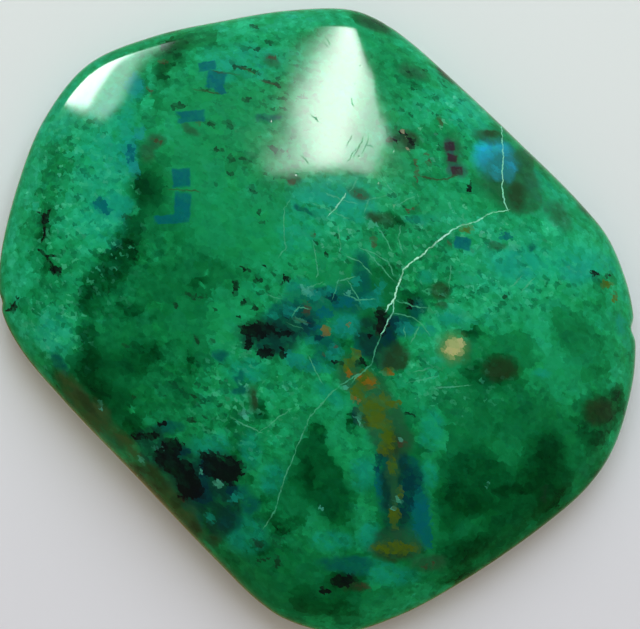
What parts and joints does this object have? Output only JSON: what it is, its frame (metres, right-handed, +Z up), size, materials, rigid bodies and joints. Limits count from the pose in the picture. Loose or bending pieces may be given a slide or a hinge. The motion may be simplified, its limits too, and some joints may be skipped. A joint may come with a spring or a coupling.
{
  "type": "polished chrysocolla cabochon",
  "caption": "Polished freeform stone with a flat back, a low girdle wall and a domed face, in mottled green with dark, blue and ochre patches.",
  "frame": {"origin": "middle of the footprint's box, on the surface that the flat back rests on", "axes": "+Z up out of the domed face, +X along the footprint's longer way, towards the corner with the bruise"},
  "size_m": [0.045, 0.0444, 0.008],
  "materials": {
    "chrysocolla": "high polish"
  },
  "bodies": {
    "root": {"polished_stone": "chrysocolla"}
  },
  "joints": []
}
